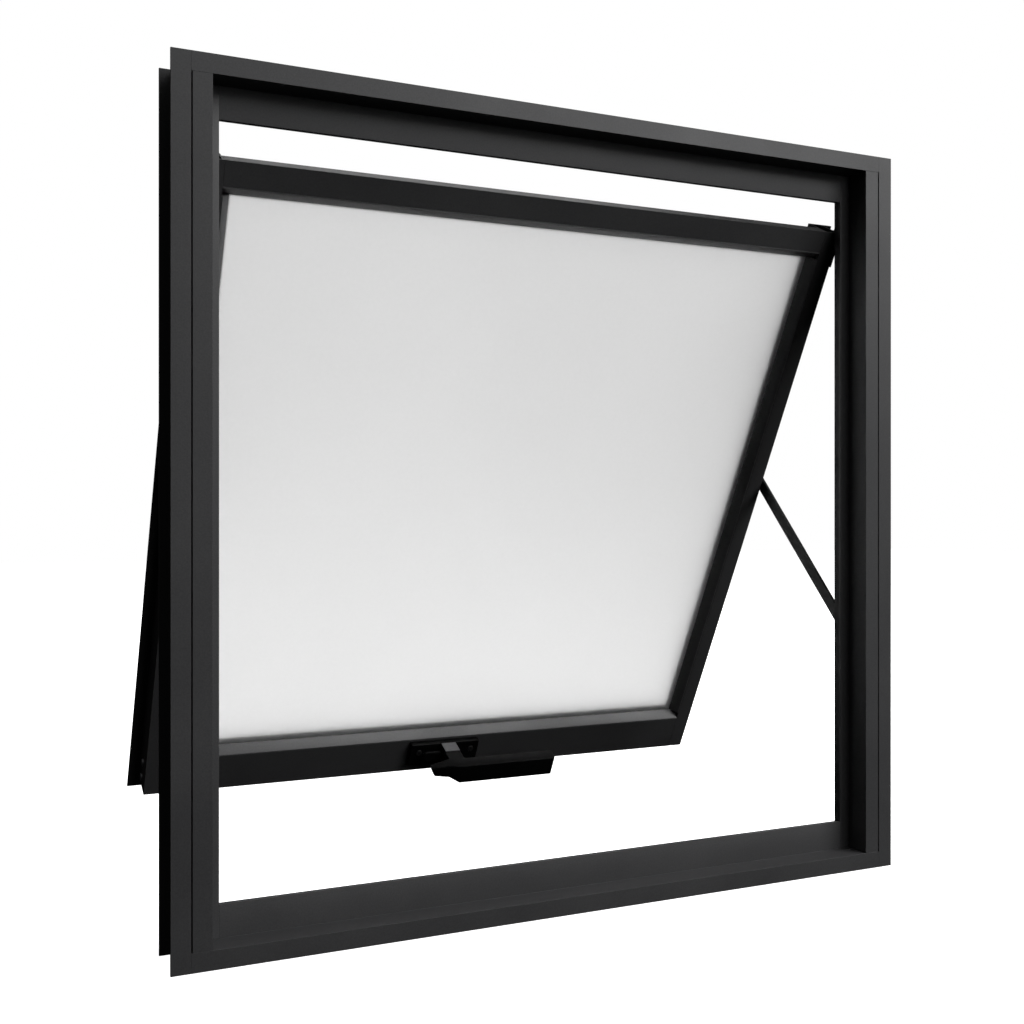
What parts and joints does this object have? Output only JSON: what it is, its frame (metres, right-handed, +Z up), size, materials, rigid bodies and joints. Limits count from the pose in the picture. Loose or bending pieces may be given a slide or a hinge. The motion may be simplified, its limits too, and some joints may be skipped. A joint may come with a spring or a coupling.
{
  "type": "top-hung projecting window",
  "caption": "Small square top-hung window: black frame, glazed sash open outwards on sliding shoes and stay arms, with a cam handle on its bottom rail.",
  "frame": {"origin": "middle of the underside of the frame's sill, where the frame stands in the wall opening", "axes": "+X across the window to the right as seen from the room, +Y outdoors, +Z up"},
  "size_m": [0.6, 0.311, 0.6],
  "materials": {
    "frame_black": "satin black powder coat",
    "sash_black": "satin black powder coat",
    "hardware_black": "black coated steel",
    "handle_black": "satin black paint on cast metal",
    "shoe_nylon": "black nylon",
    "seal_rubber": "matt black seal",
    "screw_steel": "stainless",
    "frosted_glass": "fine frosted texture"
  },
  "bodies": {
    "frame": {"head": "frame_black", "sill": "frame_black", "left_jamb": "frame_black", "right_jamb": "frame_black", "left_jamb_liner": "frame_black", "right_jamb_liner": "frame_black", "frame_gasket": "seal_rubber", "frame_corner_screws": "screw_steel"},
    "top_carriage": {"left_top_shoe": "shoe_nylon", "right_top_shoe": "shoe_nylon"},
    "sash": {"left_stile": "sash_black", "right_stile": "sash_black", "top_rail": "sash_black", "bottom_rail": "sash_black", "glass_pane": "frosted_glass", "top_bead": "sash_black", "bottom_bead": "sash_black", "left_bead": "sash_black", "right_bead": "sash_black", "glazing_gasket": "seal_rubber", "sash_corner_screws": "screw_steel", "left_pivot_bracket": "hardware_black", "right_pivot_bracket": "hardware_black", "left_top_pin": "screw_steel", "right_top_pin": "screw_steel", "bracket_screws": "screw_steel", "left_stay_stud": "screw_steel", "right_stay_stud": "screw_steel", "handle_base": "handle_black", "handle_base_screws": "hardware_black"},
    "left_stay": {"left_stay_arm": "hardware_black"},
    "right_stay": {"right_stay_arm": "hardware_black"},
    "left_slider": {"left_stay_shoe": "shoe_nylon", "left_shoe_rivet": "screw_steel"},
    "right_slider": {"right_stay_shoe": "shoe_nylon", "right_shoe_rivet": "screw_steel"},
    "handle": {"handle_lever": "handle_black", "handle_cam": "handle_black", "handle_spindle": "screw_steel", "spindle_clip": "screw_steel"}
  },
  "joints": [
    {"name": "top_slide", "type": "slide", "parent": "frame", "child": "top_carriage", "axis": [0, 0, 1], "range_m": [-0.006, 0.034]},
    {"name": "sash_swing", "type": "hinge", "parent": "top_carriage", "child": "sash", "pos_m": [0, 0.013, 0.5417], "axis": [1, 0, 0], "range_deg": [-27.4, 2.6]},
    {"name": "left_stay_pivot", "type": "hinge", "parent": "sash", "child": "left_stay", "pos_m": [-0.2747, 0.13187, 0.33411], "axis": [1, 0, 0], "range_deg": [-8, 70]},
    {"name": "right_stay_pivot", "type": "hinge", "parent": "sash", "child": "right_stay", "pos_m": [0.2747, 0.13187, 0.33411], "axis": [1, 0, 0], "range_deg": [-8, 70]},
    {"name": "left_slider_pivot", "type": "hinge", "parent": "left_stay", "child": "left_slider", "pos_m": [-0.2747, 0.013, 0.20704], "axis": [1, 0, 0], "range_deg": [-42, 6]},
    {"name": "right_slider_pivot", "type": "hinge", "parent": "right_stay", "child": "right_slider", "pos_m": [0.2747, 0.013, 0.20704], "axis": [1, 0, 0], "range_deg": [-42, 6]},
    {"name": "handle_turn", "type": "hinge", "parent": "sash", "child": "handle", "pos_m": [0, 0.24941, 0.0791], "axis": [0, -0.8878, -0.4602], "range_deg": [0, 90]}
  ],
  "couplings": [
    {"joint": "top_slide", "follows": "sash_swing", "m_per_rad": -0.06336},
    {"joint": "left_stay_pivot", "follows": "sash_swing", "ratio": -2.4506},
    {"joint": "right_stay_pivot", "follows": "sash_swing", "ratio": -2.4506},
    {"joint": "left_slider_pivot", "follows": "sash_swing", "ratio": 1.4506},
    {"joint": "right_slider_pivot", "follows": "sash_swing", "ratio": 1.4506}
  ]
}
